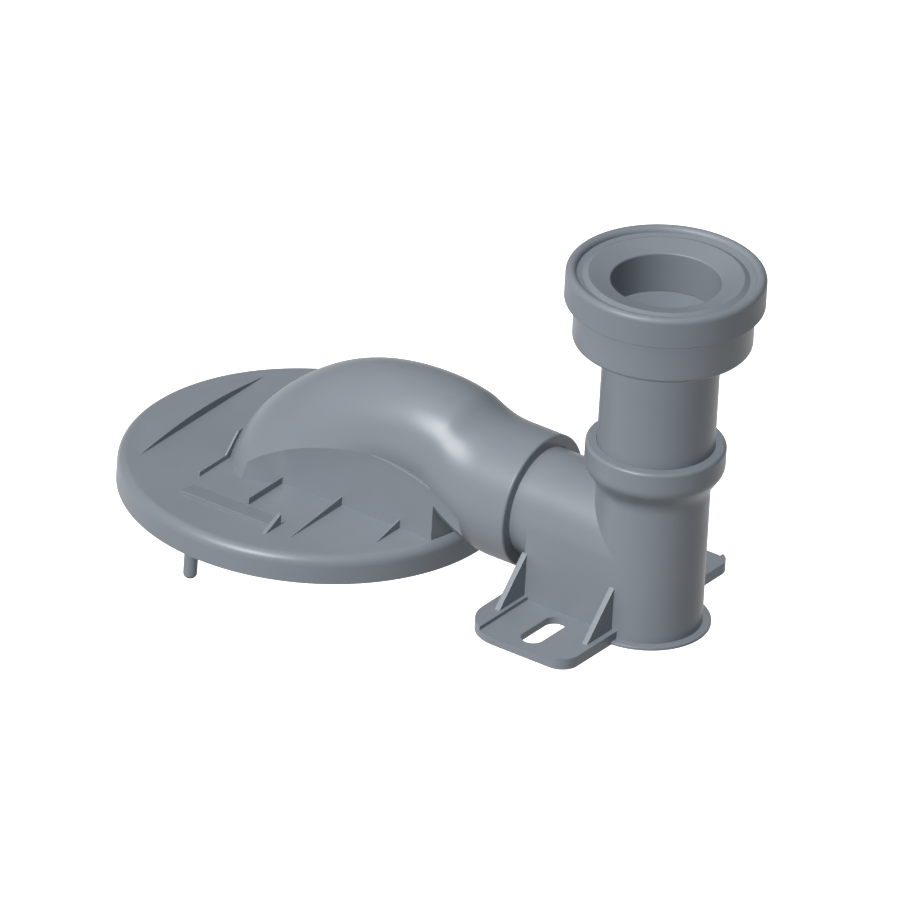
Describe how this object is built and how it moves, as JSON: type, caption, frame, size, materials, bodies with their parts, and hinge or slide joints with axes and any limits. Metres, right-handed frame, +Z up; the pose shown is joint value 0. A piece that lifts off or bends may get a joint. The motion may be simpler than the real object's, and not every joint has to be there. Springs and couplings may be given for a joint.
{
  "type": "floor drain pipe",
  "caption": "Waste connector with a round floor disc, an arched bend, an upright inlet with a cup and rubber seal, and slotted fixing brackets.",
  "frame": {"origin": "on the axis of the round disc, at the level of the inlet body's foot", "axes": "+Z up along the disc's and the inlet's axes, +X from the disc's axis to the inlet's axis, +Y to the back"},
  "size_m": [0.4451, 0.252, 0.2707],
  "materials": {
    "moulded_plastic": "satin, blue-grey moulded plastic",
    "seal_rubber": "matt, in the plastic's own blue-grey"
  },
  "bodies": {
    "root": {"bend_flange": "moulded_plastic", "body": "moulded_plastic", "riser": "moulded_plastic", "inlet_seal": "seal_rubber"}
  },
  "joints": []
}
